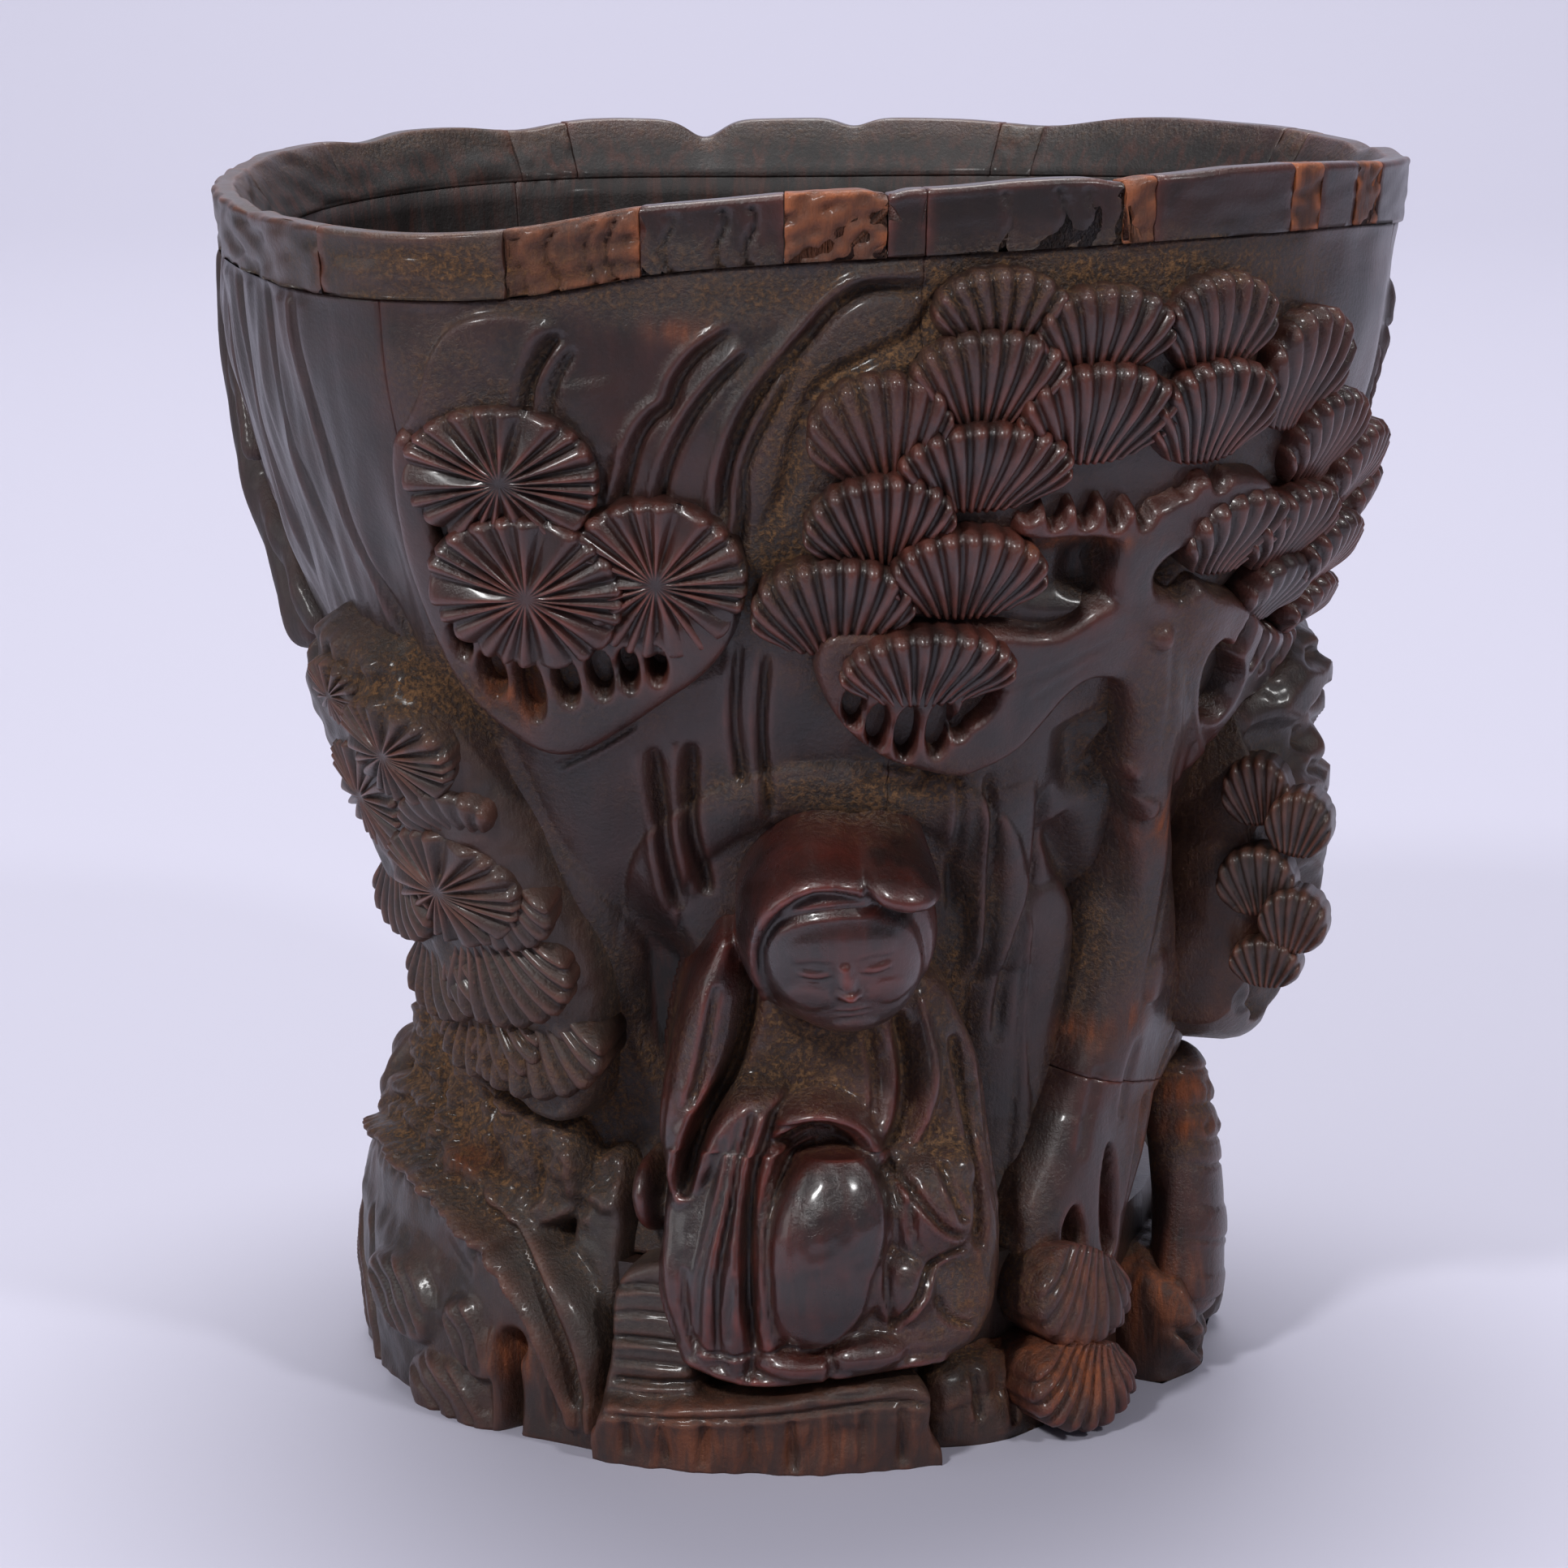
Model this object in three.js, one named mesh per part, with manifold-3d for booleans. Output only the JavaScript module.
// Aloeswood libation cup, carved as a pine, rockwork and a seated scholar.
// The cup is pieced: six wall staves and a floor board stand on a plinth block, a band of
// small blocks forms the lip, and the deep carvings are glued on the outside of the wall.
// Millimetres and degrees, +Z up. Angles run from the front (-Y) towards +X.

import * as THREE from "three";
import { mergeVertices } from "three/addons/utils/BufferGeometryUtils.js";
import Module from "manifold-3d";

const wasm = await Module();
wasm.setup();

// Driving dimensions

const GLUE = 0.25; // lacquer glue line left between any two joined pieces
const SINK = 1.2; // how far a carving is started inside the wall before its back is cut to fit

const PLINTH_HEIGHT = 14;
const PLINTH_RADIUS = 30.5;
const FOOT_CHAMFER = 1.2;
const FLOOR_TOP = 20; // height of the bottom of the bowl

const STAVE_FOOT_RADIUS = 28.4; // outside of the wall where it stands on the plinth
const WAIST_HEIGHT = 24;
const WAIST_RADIUS = 27.5;
const LIP_HEIGHT = 96.2; // mean height of the lip
const SHOULDER_DROP = 6.2; // the flare of the wall ends this far below the lip
const SHOULDER_HEIGHT = LIP_HEIGHT - SHOULDER_DROP;
const SHOULDER_RADIUS = 45.3;
const LIP_FLARE = 0.6; // growth of the wall radius above the shoulder
const WALL_AT_FLOOR = 5.6;
const WALL_AT_LIP = 3.4;
const BAND_HEIGHT = 5; // height of the lip blocks
const BAND_PROUD = 0.8; // how far the lip blocks stand out from the wall

const PEG_RADIUS = 1.2;
const PEG_LENGTH = 8;
const PEG_CLEARANCE = 0.1;

const TURN = 360; // degrees
const ANGLE_STEP = 9; // facet width of the turned surfaces
const STAVE_ROWS = 7;

// The lip is a rounded, lobed outline: [angle, how far it stands out from the mean radius].
const LIP_LOBES = [
  [-150, 1], [-120, 0], [-90, -1.4], [-60, 0.4], [-38, 3.8], [-15, -2.4], [0, -3.4],
  [20, -2], [45, 2], [75, 2.8], [105, 2.4], [150, 1], [180, -1],
];

// The lip also rises and falls: [angle, height above or below the mean].
const LIP_WAVES = [
  [-150, -0.2], [-120, -0.6], [-90, -1.2], [-60, -1.6], [-38, -1.7], [-25, -1.4], [-12, 0.3],
  [0, 1.1], [20, 1.8], [40, 2.3], [60, 2], [80, 0.8], [105, 0.5], [125, 0.8], [155, 0.1], [178, -0.2],
];

const STAVE_JOINTS = [-90, -36, 13.3, 75, 130, 213];

// Lip blocks in order round the cup: [angle where the block begins, true if it is pale sapwood].
const LIP_BLOCKS = [
  [-95, false], [-42, false], [-25, true], [-13.5, false], [0, true], [9.7, false], [13.3, false],
  [31.4, true], [34.4, false], [49.3, true], [53.4, false], [59.8, true], [65.6, false], [112, true],
  [116.5, false], [150, true], [155, false], [205, true], [212, false], [240, false],
];

// Finishes

const heartwood = new THREE.MeshStandardMaterial({ color: 0x2b1b18, roughness: 0.42, metalness: 0 });
const redwood = new THREE.MeshStandardMaterial({ color: 0x3e211a, roughness: 0.4, metalness: 0 });
const sapwood = new THREE.MeshStandardMaterial({ color: 0x7a3c1c, roughness: 0.6, metalness: 0 });
const rockwood = new THREE.MeshStandardMaterial({ color: 0x33241c, roughness: 0.6, metalness: 0 });
const polished = new THREE.MeshStandardMaterial({ color: 0x4a1a18, roughness: 0.2, metalness: 0 });
const pegwood = new THREE.MeshStandardMaterial({ color: 0x6b4a2c, roughness: 0.7, metalness: 0 });

// Curves through knots

// A smooth curve through [x, y] knots, as a function of x. With a period it closes on itself.
function through(knots, period = 0) {
  const list = [...knots].sort((p, q) => p[0] - q[0]);
  const count = list.length;
  const knot = (i) => {
    const turns = Math.floor(i / count);
    const [x, y] = list[i - turns * count];
    return [x + turns * period, y];
  };
  const slope = (i) => {
    const [x0, y0] = knot(i - 1);
    const [x1, y1] = knot(i + 1);
    return (y1 - y0) / (x1 - x0);
  };
  return (value) => {
    const start = list[0][0];
    const x = start + ((((value - start) % period) + period) % period);
    let i = 0;
    while (i + 1 < count && knot(i + 1)[0] <= x) i += 1;
    const [x0, y0] = knot(i);
    const [x1, y1] = knot(i + 1);
    const span = x1 - x0;
    const t = (x - x0) / span;
    const rise = t * t * (3 - 2 * t);
    const lead = t * (1 - t) * (1 - t) * span * slope(i);
    const trail = t * t * (t - 1) * span * slope(i + 1);
    return y0 + (y1 - y0) * rise + lead + trail;
  };
}

const lobeAt = through(LIP_LOBES, TURN);
const waveAt = through(LIP_WAVES, TURN);
const lipTop = (angle) => LIP_HEIGHT + waveAt(angle);
const bandFoot = (angle) => lipTop(angle) - BAND_HEIGHT;

// The wall

const ease = THREE.MathUtils.smoothstep;

// Outside radius of the wall. The lobes of the lip fade out towards the foot.
function wallRadius(angle, z) {
  const swell = ease(z, WAIST_HEIGHT, SHOULDER_HEIGHT);
  const below = Math.max(0, (WAIST_HEIGHT - z) / (WAIST_HEIGHT - PLINTH_HEIGHT));
  const above = Math.max(0, (z - SHOULDER_HEIGHT) / (LIP_HEIGHT - SHOULDER_HEIGHT));
  const lobeShare = THREE.MathUtils.clamp((z - PLINTH_HEIGHT) / (SHOULDER_HEIGHT - PLINTH_HEIGHT), 0, 1);
  const waist = WAIST_RADIUS + (STAVE_FOOT_RADIUS - WAIST_RADIUS) * Math.min(below, 1);
  return waist + (SHOULDER_RADIUS - WAIST_RADIUS) * swell + LIP_FLARE * above + lobeAt(angle) * lobeShare;
}

// Inside radius of the wall: the wall thins towards the lip.
function bowlRadius(angle, z) {
  const share = THREE.MathUtils.clamp((z - FLOOR_TOP) / (LIP_HEIGHT - FLOOR_TOP), 0, 1);
  return wallRadius(angle, z) - THREE.MathUtils.lerp(WALL_AT_FLOOR, WALL_AT_LIP, share);
}

// The point at a radius, angle and height.
function polar(radius, angle, z) {
  const a = THREE.MathUtils.degToRad(angle);
  return new THREE.Vector3(radius * Math.sin(a), -radius * Math.cos(a), z);
}

// The horizontal direction along the wall, to the right as seen from outside.
const alongWall = (angle) => polar(1, angle + 90, 0);

// A point of the wall, lifted off its surface.
const onWall = (angle, z, lift = 0) => polar(wallRadius(angle, z) + lift, angle, z);

// Directions of the wall at a point: across to the right, up its slope, and outwards.
function wallAxes(angle, z) {
  const up = onWall(angle, z + 1).sub(onWall(angle, z - 1)).normalize();
  const right = alongWall(angle);
  const out = right.clone().cross(up).normalize();
  return { right, up: out.clone().cross(right), out };
}

// A matrix that lays a flat carving (x right, y up, z outwards) on the wall.
function layOnWall(angle, z, lift, tilt = 0) {
  const { right, up, out } = wallAxes(angle, z);
  return new THREE.Matrix4()
    .makeBasis(right, up, out)
    .setPosition(onWall(angle, z, lift))
    .multiply(new THREE.Matrix4().makeRotationZ(THREE.MathUtils.degToRad(tilt)));
}

// The carvings are drawn for a cup of these sizes, and are stretched with the real one.
const CHART = { plinth: 14, lip: 96.2, shoulder: 45.3 };
const STRETCH_UP = (LIP_HEIGHT - PLINTH_HEIGHT) / (CHART.lip - CHART.plinth);
const STRETCH_ACROSS = SHOULDER_RADIUS / CHART.shoulder;
const STRETCH_FOOT = PLINTH_HEIGHT / CHART.plinth;

// The real height of a height in the drawing.
const raised = (z) =>
  z < CHART.plinth ? z * STRETCH_FOOT : PLINTH_HEIGHT + (z - CHART.plinth) * STRETCH_UP;

// Solids

// A solid from a three.js geometry.
function solid(geometry) {
  const bare = geometry.index ? geometry.toNonIndexed() : geometry.clone();
  bare.deleteAttribute("normal");
  bare.deleteAttribute("uv");
  const merged = mergeVertices(bare, 1e-4);
  return new wasm.Manifold(
    new wasm.Mesh({
      numProp: 3,
      vertProperties: new Float32Array(merged.attributes.position.array),
      triVerts: new Uint32Array(merged.index.array),
    }),
  );
}

const union = (solids) => solids.reduce((sum, next) => sum.add(next));
const cut = (body, ...cutters) => cutters.reduce((left, tool) => left.subtract(tool), body);

// A closed geometry from points and faces of three or four corners.
function faceted(points, faces) {
  const index = faces.flatMap(([a, b, c, d]) => (d === undefined ? [a, b, c] : [a, b, c, a, c, d]));
  const geometry = new THREE.BufferGeometry();
  geometry.setAttribute("position", new THREE.Float32BufferAttribute(points.flatMap((p) => p.toArray()), 3));
  geometry.setIndex(index);
  return geometry;
}

// A skin through rings of points, closed at both ends. Each ring runs the same way round, and
// seen from the last ring, looking back at the first, that is anticlockwise.
function skin(rings) {
  const sides = rings[0].length;
  const points = rings.flat();
  const faces = [];
  for (let j = 0; j + 1 < rings.length; j += 1) {
    for (let i = 0; i < sides; i += 1) {
      const next = (i + 1) % sides;
      faces.push([j * sides + i, j * sides + next, (j + 1) * sides + next, (j + 1) * sides + i]);
    }
  }
  const centre = (ring) => ring.reduce((sum, p) => sum.add(p), new THREE.Vector3()).divideScalar(sides);
  const first = points.push(centre(rings[0])) - 1;
  const last = points.push(centre(rings.at(-1))) - 1;
  const top = (rings.length - 1) * sides;
  for (let i = 0; i < sides; i += 1) {
    const next = (i + 1) % sides;
    faces.push([first, next, i], [last, top + i, top + next]);
  }
  return faceted(points, faces);
}

// A block between two angles, with its own inside, outside, foot and top. Where it meets the
// next block, half a glue line is left off each side.
function sector({ from, to, foot, top, inner, outer, rows = 1, joint = GLUE / 2 }) {
  const columns = Math.max(2, Math.ceil((to - from) / ANGLE_STEP));
  const points = [];
  for (let i = 0; i <= columns; i += 1) {
    const angle = THREE.MathUtils.lerp(from, to, i / columns);
    const shift = i === 0 ? joint : i === columns ? -joint : 0;
    for (let j = 0; j <= rows; j += 1) {
      const z = THREE.MathUtils.lerp(foot(angle), top(angle), j / rows);
      for (const radius of [inner(angle, z), outer(angle, z)]) {
        points.push(polar(radius, angle, z).addScaledVector(alongWall(angle), shift));
      }
    }
  }
  const at = (i, j, side) => (i * (rows + 1) + j) * 2 + side;
  const faces = [];
  for (let i = 0; i < columns; i += 1) {
    for (let j = 0; j < rows; j += 1) {
      faces.push([at(i, j, 1), at(i + 1, j, 1), at(i + 1, j + 1, 1), at(i, j + 1, 1)]);
      faces.push([at(i + 1, j, 0), at(i, j, 0), at(i, j + 1, 0), at(i + 1, j + 1, 0)]);
    }
    faces.push([at(i, rows, 1), at(i + 1, rows, 1), at(i + 1, rows, 0), at(i, rows, 0)]);
    faces.push([at(i, 0, 0), at(i + 1, 0, 0), at(i + 1, 0, 1), at(i, 0, 1)]);
  }
  for (let j = 0; j < rows; j += 1) {
    faces.push([at(0, j, 0), at(0, j, 1), at(0, j + 1, 1), at(0, j + 1, 0)]);
    faces.push([at(columns, j, 1), at(columns, j, 0), at(columns, j + 1, 0), at(columns, j + 1, 1)]);
  }
  return solid(faceted(points, faces));
}

// The angles where one piece ends and the next begins, all the way round.
const spans = (joints) => joints.map((from, i) => [from, joints[i + 1] ?? joints[0] + TURN]);

// A full turned body: one ring of points for each height.
function turned(heights, radius) {
  const count = TURN / ANGLE_STEP;
  const rings = heights.map((z) =>
    Array.from({ length: count }, (_, i) => polar(radius(i * ANGLE_STEP, z), i * ANGLE_STEP, z)),
  );
  return solid(skin(rings));
}

// A limb along the wall: a tube through [angle, height, lift, half width, half depth] stations.
function limb(stations, grow = 0, { sides = 8, steps = 2 } = {}) {
  const path = new THREE.CatmullRomCurve3(stations.map(([angle, z, lift]) => onWall(angle, raised(z), lift)));
  const outs = new THREE.CatmullRomCurve3(stations.map(([angle, z]) => wallAxes(angle, raised(z)).out));
  const sizes = new THREE.SplineCurve(
    stations.map(([, , , width, depth]) => new THREE.Vector2(width, depth).multiplyScalar(STRETCH_ACROSS)),
  );
  const count = (stations.length - 1) * steps;
  const rings = [];
  for (let j = 0; j <= count; j += 1) {
    const t = j / count;
    const centre = path.getPoint(t);
    const along = path.getTangent(t);
    const across = outs.getPoint(t).cross(along).normalize();
    const out = along.clone().cross(across);
    const size = sizes.getPoint(t);
    if (j === 0) centre.addScaledVector(along, -grow);
    if (j === count) centre.addScaledVector(along, grow);
    rings.push(
      Array.from({ length: sides }, (_, i) => {
        const turn = (2 * Math.PI * (i + 0.5)) / sides;
        return centre
          .clone()
          .addScaledVector(across, Math.cos(turn) * (size.x + grow))
          .addScaledVector(out, Math.sin(turn) * (size.y + grow));
      }),
    );
  }
  return solid(skin(rings));
}

// An egg shape, laid on the wall: x right, y up, z outwards.
function egg({ angle, z, lift, size, tilt, detail }, grow = 0) {
  const ball = new THREE.IcosahedronGeometry(1, detail);
  const [across, up, out] = size;
  ball.scale(across * STRETCH_ACROSS + grow, up * STRETCH_UP + grow, out * STRETCH_ACROSS + grow);
  return solid(ball.applyMatrix4(layOnWall(angle, raised(z), lift, tilt)));
}

// Pine needles

const FAN_DEPTH = 2.6; // how far a fan of needles stands out from the wall
const FAN_OVERLAP = 1.18; // how much wider and taller a fan is than the space it is given
const FAN_BASE = 0.8; // depth of the lower curve of a fan, as a share of its upper one
const ROSETTE_DEPTH = 2.4;
const PAD_SIDES = 10;
const PAD_EDGE = 0.3; // height of a pad's edge, as a share of its depth
const PAD_CROWN = 0.7; // width of a pad's top, as a share of its width

// A pad of needles, domed, with its back sunk in the wall. The outline is a function of the
// turn round the pad that gives a share of its half width and half height.
function pad([angle, z, width, height, tilt = 0, lift = 0], depth, outline, grow = 0) {
  const layers = [
    [-SINK - lift - grow, 1],
    [depth * PAD_EDGE, 1],
    [depth + grow, PAD_CROWN],
  ];
  const halfWidth = (width / 2) * STRETCH_ACROSS + grow;
  const halfHeight = (height / 2) * STRETCH_UP + grow;
  const rings = layers.map(([out, share]) =>
    Array.from({ length: PAD_SIDES }, (_, i) => {
      const [x, y] = outline((2 * Math.PI * (i + 0.5)) / PAD_SIDES);
      return new THREE.Vector3(halfWidth * x * share, halfHeight * y * share, out);
    }),
  );
  return solid(skin(rings).applyMatrix4(layOnWall(angle, raised(z), lift, tilt)));
}

// A fan is a shell shape: a full round above and a shallow curve below.
const roundOutline = (turn) => [Math.cos(turn), Math.sin(turn)];
const fanOutline = (turn) => [
  FAN_OVERLAP * Math.cos(turn),
  FAN_OVERLAP * Math.sin(turn) * (Math.sin(turn) > 0 ? 1 : FAN_BASE),
];
const fan = (place, grow = 0) => pad(place, FAN_DEPTH, fanOutline, grow);
const rosette = (place, grow = 0) => pad(place, ROSETTE_DEPTH, roundOutline, grow);

// Layout of the carvings. Fans and rosettes: [angle, height, width, height, tilt, lift].

const CROWN_LEFT = [
  [20.5, 89.2, 9, 6, 0], [30, 86.8, 9.5, 7.4, 0], [41.5, 86.8, 8.6, 8.4, 0], [19.5, 84, 11, 7.6, 0],
  [9.3, 80.2, 9.8, 8.6, 12], [30, 81, 11, 8.4, 0], [42, 80.6, 10, 8.6, 0], [19.5, 77.4, 12, 7.4, 0],
  [9.6, 73.6, 10.2, 7.8, 8], [19, 69.6, 10.6, 7.8, 0], [5.2, 67, 11, 8.4, 6], [15.8, 62.4, 12, 7, 0],
];
const CROWN_RIGHT = [
  [53, 82.8, 9.4, 10.2, 0], [60, 76.8, 11, 8.8, 0], [48, 71.2, 9, 7.8, 0, 0.5],
  [57.5, 70.6, 10.6, 8.2, 0, 0.6], [69.5, 73.8, 10.4, 8.8, 0, 0.6], [68, 67.8, 10.4, 7.8, 0, 1.2],
  [78, 70, 10, 8.4, -6, 0.6],
];
const CROWN_BACK = [
  [-176, 83.4, 10.4, 8.4, 6], [-166, 86.2, 10.4, 8, 0], [-156, 86.2, 10.4, 8, 0],
  [-146, 83.6, 10.4, 8.4, -6], [-171, 78, 10.8, 8.4, 4], [-160.5, 80, 10.8, 8.4, 0],
  [-150, 78.4, 10.8, 8.4, 0], [-140, 78, 10.4, 8.4, -8], [-172, 72, 10.8, 8.4, 6], [-151, 72, 10.8, 8.4, 0],
];
const SPRIG_FANS = [
  [68.5, 46.4, 7.4, 7, 0, 9.4], [76, 43.4, 6.6, 7.6, -10, 12], [71.5, 38.8, 8, 7.2, 4, 11],
  [80, 36, 6.6, 7.4, -12, 12], [76, 32.4, 6.6, 5.6, -8, 11],
];
const FRONT_ROSETTES = [
  [-26.6, 77, 13, 10.4, 0, 0], [-26, 68.8, 12.6, 11.6, 0, 0.9], [-13.4, 69.6, 12.8, 12, 0, 0.3],
];
const BACK_ROSETTES = [
  [143, 79, 13, 12, 0, 0], [134.5, 71, 13.4, 12, 0, 0.8], [148.5, 69, 13.8, 12, 0, 0.3],
];
const SLAB_ROSETTES = [
  [-54, 53.6, 9, 8.6, 0, 4], [-43, 56.6, 9, 8, 0, 4.2], [-38, 50, 9.4, 9, 0, 4.4], [-48, 45.4, 10, 9, 0, 4.6],
  [-37, 41.6, 9.6, 9, 0, 4.6], [-34.6, 33.4, 9.6, 8.6, 0, 4.2], [-34, 26.6, 7.6, 6, 0, 3.2],
];
const ROCK_FANS = [
  [-70, 7.6, 7.4, 6.4, 14, 5.6], [-55, 4.4, 6.4, 5.6, 10, 6.4],
];
const FUNGUS_CAPS = [
  [51, 9.4, 7.8, 7, 0, 7], [48.5, 4, 7.8, 6.6, 0, 7],
];

// Limbs: [angle, height, lift, half width, half depth].
const TRUNK_FOOT = [
  [46, 5.6, 2.6, 3, 2.6], [49, 10, 3.4, 4.2, 3.4], [53, 15, 4.6, 4.6, 4], [55, 20.8, 5.2, 4.3, 4],
];
const TRUNK = [
  [55, 21, 5.2, 4.3, 4], [56, 33, 5.6, 3.6, 3.6], [54.5, 45, 4.4, 3.3, 3.3], [48.5, 55, 3.2, 3.6, 3],
  [42, 64, 2.4, 3.4, 2.8], [37.5, 71.5, 2, 2.6, 2.4], [35.6, 76.5, 1.6, 1.6, 1.8],
];
const LEFT_BOUGH = [
  [44, 61, 1.6, 3.8, 2.2], [34, 61.6, 1.2, 3.8, 2], [25, 58.8, 1, 4.4, 2], [15.5, 56.2, 1, 3.4, 2],
  [7, 58.6, 1, 2.6, 1.8], [0.6, 64, 0.8, 1.8, 1.6],
];
const RIGHT_BOUGH = [
  [46, 56, 2, 3.2, 2.4], [55, 59.4, 2.4, 3, 2.4], [64, 62, 2.4, 2.4, 2.2], [74, 64.4, 2, 1.6, 1.8],
];
const FORK_LEFT = [[37, 72, 1.4, 1.8, 1.8], [30.5, 74.6, 1, 1.8, 1.6], [24.6, 74.2, 0.8, 1.4, 1.4]];
const FORK_RIGHT = [[37, 72, 1.4, 1.8, 1.8], [43.5, 75.2, 1, 1.8, 1.6], [51, 75.6, 0.8, 1.4, 1.4]];
const ROSETTE_BOUGH = [
  [-33.4, 79.5, 0.6, 1.3, 1.5], [-35, 70, 0.8, 1.6, 1.7], [-33.6, 61.6, 0.8, 2.6, 1.8],
  [-25, 58.8, 0.8, 3.2, 1.8], [-15, 61.4, 0.6, 2.4, 1.6], [-7, 65.6, 0.4, 1.4, 1.3],
];
const LEFT_RIDGE = [
  [-95, 90, 0.6, 1.6, 1.6], [-93, 78, 0.8, 1.9, 1.9], [-88, 68, 0.9, 2.1, 2], [-80, 60.5, 1, 2.4, 2.2],
];
const SLAB = [
  [-50, 58, 2.2, 8.2, 3.4], [-48, 50, 2.4, 9.2, 3.6], [-44, 41, 2.4, 9.4, 3.6], [-40, 33, 2.2, 7.8, 3.4],
  [-35.6, 25, 1.8, 3.8, 2.8],
];
const BAMBOO = [[74, 25.4, 4.6, 2.4, 2.4], [72, 15, 6.4, 2.7, 2.6], [69, 5, 6.8, 2.9, 2.7]];
const BACK_TRUNK = [
  [172, 15, 3.6, 4.6, 3.8], [176, 27, 3.6, 3.8, 3.4], [190, 40, 3, 3.4, 3], [201, 52, 2.2, 3.2, 2.6],
  [200, 64, 1.8, 2.8, 2.4], [195, 76, 1.4, 1.8, 1.8],
];
const BACK_LEFT_BOUGH = [[200, 60, 1.4, 2.6, 2.2], [210, 65, 1, 2.2, 1.8], [220, 73, 0.8, 1.6, 1.6]];
const BACK_ROSETTE_BOUGH = [
  [189, 41, 1.4, 2.8, 2.4], [170, 50, 1, 2.6, 2], [154, 60, 0.8, 2.8, 1.8], [138, 62.4, 0.8, 2.2, 1.8],
  [127, 68, 0.6, 1.4, 1.5],
];

// Relief of the wall itself. Ridges are left standing on one stave each, furrows and hollows are
// cut in. Lines: [angle, height]. Hollows: [angle, height, half width, half height, tilt].
const RIDGE = { lift: -0.8, width: 1.9, depth: 1.8 };
const FURROW = { lift: 0.5, width: 0.8, depth: 1.5 };
const HOLLOW = { lift: 0.4, depth: 2 };
const WALL_RIDGES = {
  wall_stave_2: [
    [[-21.7, 37], [-17.9, 45], [-11.7, 48.8], [-0.6, 51.9], [12.4, 51.9]],
    [[-31.8, 48], [-30.2, 43.6], [-28, 38.4]],
  ],
  wall_stave_3: [
    [[14.4, 51.8], [23.4, 49.8], [31.6, 43.4], [36, 32], [37.6, 20]],
    [[40.6, 41], [45, 31], [44, 23]],
  ],
};
const WALL_FURROWS = [
  [[-21.1, 87.4], [-23.6, 84], [-23.8, 82]],
  [[-4.6, 87.6], [-10.1, 84.1], [-14.3, 79.6], [-16, 76.4]],
  [[14, 90.4], [5.1, 89.3], [-1.7, 83.5], [-5.4, 77.4], [-6.2, 73.6]],
  [[1, 84.6], [-2.8, 79.6], [-4.4, 73.6]],
  [[-16.3, 55.6], [-15.5, 42]],
  [[-11.6, 56], [-11.4, 43.4]],
  [[-5.4, 64.2], [-5.4, 52.6]],
  [[-1.9, 63.4], [-1.9, 50.2]],
  [[26.4, 53.2], [31.2, 41], [31.4, 35]],
  [[-66, 90], [-65, 66]],
];
const WALL_HOLLOWS = [
  [-19.5, 33, 2.6, 8, 12], [24.6, 40, 2.6, 6.4, -8], [29.6, 26, 3, 7.6, 0], [44.6, 44, 2.2, 6.6, 50],
  [39.6, 53.8, 3.4, 2.2, 20], [29.6, 69.4, 3.4, 2, 0], [-24, 22, 3.2, 4.6, 20], [63, 50, 2.4, 6, 20],
];

const wallLine = (line, { lift, width, depth }, grow = 0) =>
  limb(line.map(([angle, z]) => [angle, z, lift, width, depth]), grow, { sides: 6, steps: 1 });
const wallRidges = (grow = 0) => Object.values(WALL_RIDGES).flat().map((line) => wallLine(line, RIDGE, grow));
const wallCuts = [
  ...WALL_FURROWS.map((line) => wallLine(line, FURROW)),
  ...WALL_HOLLOWS.map(([angle, z, width, height, tilt]) =>
    egg({ angle, z, lift: HOLLOW.lift, size: [width, height, HOLLOW.depth], tilt, detail: 1 }),
  ),
];

// Tools that cut the back of a carving to its seat

const PAST = 2; // how far a tool runs past the face that it cuts

const bandTool = sector({
  from: -TURN / 2,
  to: TURN / 2,
  foot: (angle) => bandFoot(angle) - GLUE,
  top: (angle) => lipTop(angle) + PAST,
  inner: () => WAIST_RADIUS,
  outer: (angle, z) => wallRadius(angle, z) + BAND_PROUD + GLUE,
  joint: 0,
});
const staveTools = spans(STAVE_JOINTS).map(([from, to]) =>
  sector({
    from,
    to,
    rows: STAVE_ROWS,
    foot: () => PLINTH_HEIGHT,
    top: (angle) => bandFoot(angle) + GLUE,
    inner: (angle, z) => bowlRadius(angle, z) - PAST,
    outer: (angle, z) => wallRadius(angle, z) + GLUE,
    joint: -GLUE,
  }),
);
const plinthTool = turned([-PAST, PLINTH_HEIGHT + GLUE], () => PLINTH_RADIUS + GLUE);
const tableWidth = 4 * SHOULDER_RADIUS;
const tableTool = solid(
  new THREE.BoxGeometry(tableWidth, tableWidth, LIP_HEIGHT).translate(0, 0, -LIP_HEIGHT / 2),
);
const seatTools = [...staveTools, ...wallRidges(GLUE), plinthTool, bandTool, tableTool];
const seat = (body, ...more) => cut(body, ...seatTools, ...more);

// Rockwork round the plinth

const STRATA_PITCH = 23; // degrees from one bulge of the strata to the next
const STRATA_TWIST = 1.4; // degrees that the strata turn for each millimetre of height
const STRATA_TOP = 0.6; // ripple of a rock's top, as a share of the ripple of its side
const BATTER_START = 0.55; // share of a rock's height where its face begins to lean in
const BATTER = 0.22; // how much the face leans in for each millimetre above that

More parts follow.
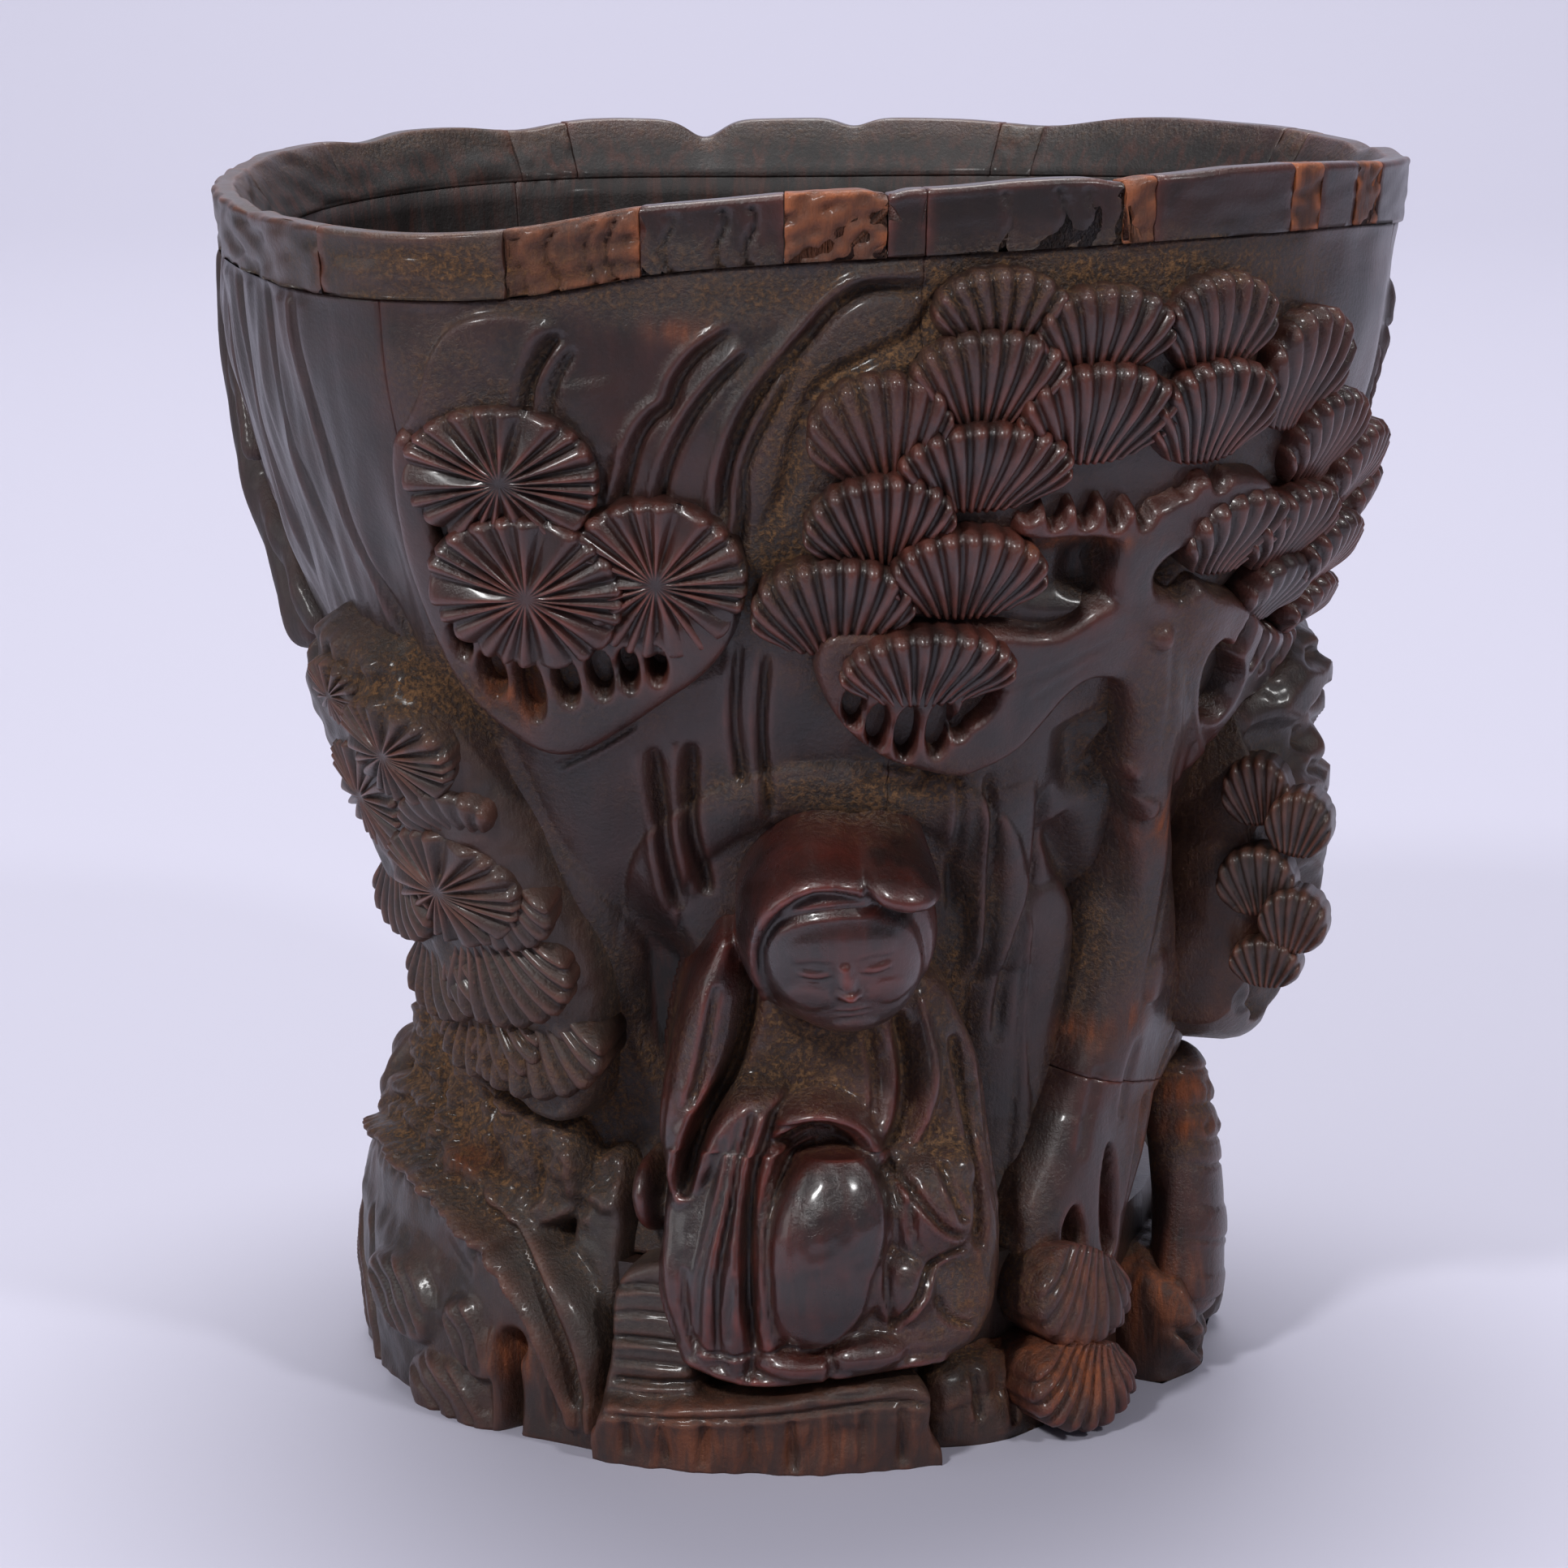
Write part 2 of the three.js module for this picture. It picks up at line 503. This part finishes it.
// A rock stands on the table against the plinth. Its outline steps in and out, like strata.
function rock({ from, to, height, depth, slope = 0, ripple = 1, phase = 0, rows = 3 }, grow = 0) {
  const wave = (angle) => ripple * Math.sin((2 * Math.PI * (angle + phase)) / STRATA_PITCH);
  return sector({
    from,
    to,
    rows,
    joint: -grow,
    foot: () => 0,
    top: (angle) => raised(height + (slope * (angle - from)) / (to - from)) + STRATA_TOP * wave(angle) + grow,
    inner: (angle, z) => (z > PLINTH_HEIGHT ? wallRadius(angle, z) : PLINTH_RADIUS) - SINK,
    outer: (angle, z) => {
      const lean = BATTER * Math.max(0, z - raised(height) * BATTER_START);
      return PLINTH_RADIUS + depth + wave(angle + z * STRATA_TWIST) - lean + grow;
    },
  });
}

// Depth is how far a rock stands out from the plinth.
const LEDGE = { from: -22.5, to: 18, height: 5.4, depth: 5.9, ripple: 0.4, rows: 2 };
const ROCKS = {
  rock_left_front: { from: -88, to: -24, height: 16.5, slope: -8, depth: 4.9, ripple: 0.8, phase: 2.6 },
  rock_left_step: { from: -134, to: -89.5, height: 23, slope: 2.4, depth: 3.3, phase: 0.6 },
  rock_front_right: { from: 19.5, to: 39.5, height: 6.2, slope: 1, depth: 3.1, ripple: 0.5, rows: 2 },
  rock_right: { from: 61, to: 104, height: 9.5, slope: 3, depth: 4.9, ripple: 0.7, phase: 4.5 },
  rock_back_right: { from: 105.5, to: 152, height: 14, slope: -3, depth: 4.7, phase: 1.3 },
  rock_back_left: { from: 153.5, to: 224.5, height: 11, slope: 6, depth: 4.9, ripple: 1.2, phase: 3.5 },
};

// A boulder fills the taper of the wall on the right and carries the sprig. Its outline draws in
// towards its two sides, and its underside leans back to the wall.
const BOULDER = { from: 65, to: 108, middle: 82, foot: 26, top: 60.5, proud: 4, leanBelow: 36, lean: 0.55 };
const BOULDER_ROUNDING = { foot: 0.012, top: 0.016, reach: 0.009 };

function boulder(grow = 0) {
  const { from, to, middle, foot, top, proud, leanBelow, lean } = BOULDER;
  const off = (angle) => (angle - middle) ** 2;
  const reach = wallRadius(middle, raised(top)) + proud;
  return sector({
    from,
    to,
    rows: 4,
    joint: -grow,
    foot: (angle) => raised(foot) + BOULDER_ROUNDING.foot * off(angle) - grow,
    top: (angle) => raised(top) - BOULDER_ROUNDING.top * off(angle) + grow,
    inner: (angle, z) => wallRadius(angle, z) - SINK,
    outer: (angle, z) => {
      const drawnIn = BOULDER_ROUNDING.reach * off(angle) + lean * Math.max(0, raised(leanBelow) - z);
      return reach - drawnIn + grow;
    },
  });
}

// The scholar: sizes are half sizes, across, up and out from the wall

const HEAD = { angle: 6.4, z: 40.8, lift: 3.4, size: [7.4, 8, 5.8], tilt: -10, detail: 2 };
const KNOT = { angle: 15.6, z: 44.2, lift: 6.2, size: [2.9, 1.5, 1.8], tilt: -12, detail: 1 };
const CHEST = { angle: 3.5, z: 28.6, lift: 2.2, size: [12.8, 11, 5.6], tilt: 0, detail: 1 };
const SKIRT = { angle: 2.5, z: 13.6, lift: 4.2, size: [13, 10, 5.8], tilt: 0, detail: 1 };
const SLEEVES = [
  [[-8, 38, 1.6, 2.4, 2.6], [-12.5, 29, 3.6, 3.2, 3.2], [-12, 20, 5.4, 3.4, 3.4], [-6, 19, 7.6, 2.4, 2.6]],
  [[21.5, 35.6, 1.6, 2, 2.4], [20, 28, 3.4, 2.6, 2.8], [15, 21, 5.6, 2.4, 2.6]],
];
const FOLDS = [
  [[10.5, 22, 7, 4.2, 3.6], [7.5, 15, 8.2, 4.8, 3.4], [3, 7.2, 8, 3.8, 2.8]],
  [[-2, 25.4, 6.2, 2, 2.2], [-5.4, 15, 7.6, 2, 2.4], [-6.4, 6.6, 7.6, 2.4, 2.4]],
  [[20.5, 18.6, 6.4, 3, 3], [18, 12.4, 7, 3.2, 3], [14, 7.2, 7, 3, 2.6]],
];

const scholar = (grow = 0) =>
  union([
    ...[HEAD, KNOT, CHEST, SKIRT].map((form) => egg(form, grow)),
    ...[...SLEEVES, ...FOLDS].map((stations) => limb(stations, grow)),
  ]);

// Carvings made of several forms

const fans = (places, grow = 0) => union(places.map((place) => fan(place, grow)));
const rosettes = (places, grow = 0) => union(places.map((place) => rosette(place, grow)));
const limbs = (list, grow = 0) => union(list.map((stations) => limb(stations, grow)));

const carvings = {
  trunkFoot: (grow = 0) => limb(TRUNK_FOOT, grow),
  trunk: (grow = 0) => limbs([TRUNK, LEFT_BOUGH, RIGHT_BOUGH, FORK_LEFT, FORK_RIGHT], grow),
  crownLeft: (grow = 0) => fans(CROWN_LEFT, grow),
  crownRight: (grow = 0) => fans(CROWN_RIGHT, grow),
  rosetteBough: (grow = 0) => union([limb(ROSETTE_BOUGH, grow), rosettes(FRONT_ROSETTES, grow)]),
  slab: (grow = 0) => union([limb(SLAB, grow), rosettes(SLAB_ROSETTES, grow)]),
  sprig: (grow = 0) => union([boulder(grow), fans(SPRIG_FANS, grow)]),
  fungus: (grow = 0) => fans(FUNGUS_CAPS, grow),
  leftRock: (grow = 0) => union([rock(ROCKS.rock_left_front, grow), fans(ROCK_FANS, grow)]),
  rightRock: (grow = 0) => rock(ROCKS.rock_right, grow),
  frontRock: (grow = 0) => rock(ROCKS.rock_front_right, grow),
  ledge: (grow = 0) => rock(LEDGE, grow),
  bamboo: (grow = 0) => limb(BAMBOO, grow),
  backTrunk: (grow = 0) => limbs([BACK_TRUNK, BACK_LEFT_BOUGH, BACK_ROSETTE_BOUGH], grow),
};

// Assembly

const cup = new THREE.Group();
cup.name = "libation_cup";

// Adds a solid to the cup as one named piece.
function piece(name, body, material) {
  const { numProp, numVert, vertProperties, triVerts } = body.getMesh();
  const points = new Float32Array(numVert * 3);
  for (let i = 0; i < numVert; i += 1) {
    points.set(vertProperties.subarray(i * numProp, i * numProp + 3), i * 3);
  }
  const geometry = new THREE.BufferGeometry();
  geometry.setAttribute("position", new THREE.BufferAttribute(points, 3));
  geometry.setIndex(new THREE.BufferAttribute(triVerts, 1));
  geometry.computeVertexNormals();
  const mesh = new THREE.Mesh(geometry, material);
  mesh.name = name;
  cup.add(mesh);
}

// Pegs stand upright in the joint between the plinth and the staves.
const pegTool = (angle, radius, length) => {
  const ring = (wallRadius(angle, PLINTH_HEIGHT) + bowlRadius(angle, PLINTH_HEIGHT)) / 2;
  const upright = new THREE.CylinderGeometry(radius, radius, length, 12).rotateX(Math.PI / 2);
  return solid(upright.translate(...polar(ring, angle, PLINTH_HEIGHT).toArray()));
};
const pegAngles = spans(STAVE_JOINTS).map(([from, to]) => (from + to) / 2);
const pegHoles = pegAngles.map((angle) =>
  pegTool(angle, PEG_RADIUS + PEG_CLEARANCE, PEG_LENGTH + 2 * PEG_CLEARANCE),
);

const chamfered = (angle, z) => PLINTH_RADIUS - Math.max(0, FOOT_CHAMFER - z);
const plinth = turned([0, FOOT_CHAMFER, PLINTH_HEIGHT], chamfered);
piece("plinth_block", cut(plinth, ...pegHoles), rockwood);

const floorBoard = turned([PLINTH_HEIGHT + GLUE, FLOOR_TOP], (angle, z) => bowlRadius(angle, z) - GLUE);
piece("floor_board", floorBoard, heartwood);

spans(STAVE_JOINTS).forEach(([from, to], i) => {
  const stave = sector({
    from,
    to,
    rows: STAVE_ROWS,
    foot: () => PLINTH_HEIGHT + GLUE,
    top: bandFoot,
    inner: bowlRadius,
    outer: wallRadius,
  });
  const name = `wall_stave_${i + 1}`;
  const ridges = (WALL_RIDGES[name] ?? []).map((line) => wallLine(line, RIDGE));
  piece(name, cut(union([stave, ...ridges]), ...wallCuts, pegHoles[i]), heartwood);
  piece(`stave_peg_${i + 1}`, pegTool(pegAngles[i], PEG_RADIUS, PEG_LENGTH), pegwood);
});

spans(LIP_BLOCKS.map(([angle]) => angle)).forEach(([from, to], i) => {
  const block = sector({
    from,
    to,
    foot: (angle) => bandFoot(angle) + GLUE,
    top: lipTop,
    inner: bowlRadius,
    outer: (angle, z) => wallRadius(angle, z) + BAND_PROUD,
  });
  piece(`lip_block_${String(i + 1).padStart(2, "0")}`, block, LIP_BLOCKS[i][1] ? sapwood : heartwood);
});

// The pine on the right: a foot, a trunk with its boughs, and two crowns of needles on them.
piece("pine_trunk_foot", seat(carvings.trunkFoot()), redwood);
piece("pine_trunk", seat(carvings.trunk(), carvings.trunkFoot(GLUE)), redwood);
piece("pine_crown_left", seat(carvings.crownLeft(), carvings.trunk(GLUE)), heartwood);
piece(
  "pine_crown_right",
  seat(carvings.crownRight(), carvings.trunk(GLUE), carvings.crownLeft(GLUE), carvings.sprig(GLUE)),
  heartwood,
);
piece("rosette_bough", seat(carvings.rosetteBough()), redwood);
piece("leaf_slab", seat(carvings.slab(), carvings.rosetteBough(GLUE)), rockwood);
piece("cliff_ridge_left", seat(limb(LEFT_RIDGE), carvings.slab(GLUE)), rockwood);
piece("sprig_boulder", seat(carvings.sprig(), carvings.trunk(GLUE)), rockwood);
piece(
  "bamboo_stalk",
  seat(carvings.bamboo(), carvings.sprig(GLUE), carvings.trunkFoot(GLUE), carvings.trunk(GLUE)),
  heartwood,
);

// The scholar sits on the front ledge, between two rocks.
const { leftRock, rightRock, frontRock, ledge, fungus } = carvings;
piece("front_ledge", seat(ledge(), leftRock(GLUE)), rockwood);
piece("scholar", seat(scholar(), ledge(GLUE), leftRock(GLUE)), polished);
piece("rock_left_front", seat(leftRock(), carvings.slab(GLUE)), rockwood);
piece("rock_left_step", seat(rock(ROCKS.rock_left_step), leftRock(GLUE)), rockwood);
piece("rock_front_right", seat(frontRock(), scholar(GLUE), carvings.trunkFoot(GLUE), ledge(GLUE)), rockwood);
piece("fungus_caps", seat(fungus(), carvings.trunkFoot(GLUE), frontRock(GLUE)), sapwood);
piece(
  "rock_right",
  seat(rightRock(), carvings.trunkFoot(GLUE), carvings.bamboo(GLUE), fungus(GLUE)),
  rockwood,
);

// The back: a second pine with its own crown and rosettes, over more rock.
const { backTrunk } = carvings;
piece("back_pine_trunk", seat(backTrunk()), redwood);
piece("back_pine_crown", seat(fans(CROWN_BACK), backTrunk(GLUE)), heartwood);
piece("back_rosettes", seat(rosettes(BACK_ROSETTES), backTrunk(GLUE)), redwood);
piece("rock_back_right", seat(rock(ROCKS.rock_back_right), rightRock(GLUE)), rockwood);
piece("rock_back_left", seat(rock(ROCKS.rock_back_left), backTrunk(GLUE)), rockwood);

export default cup;
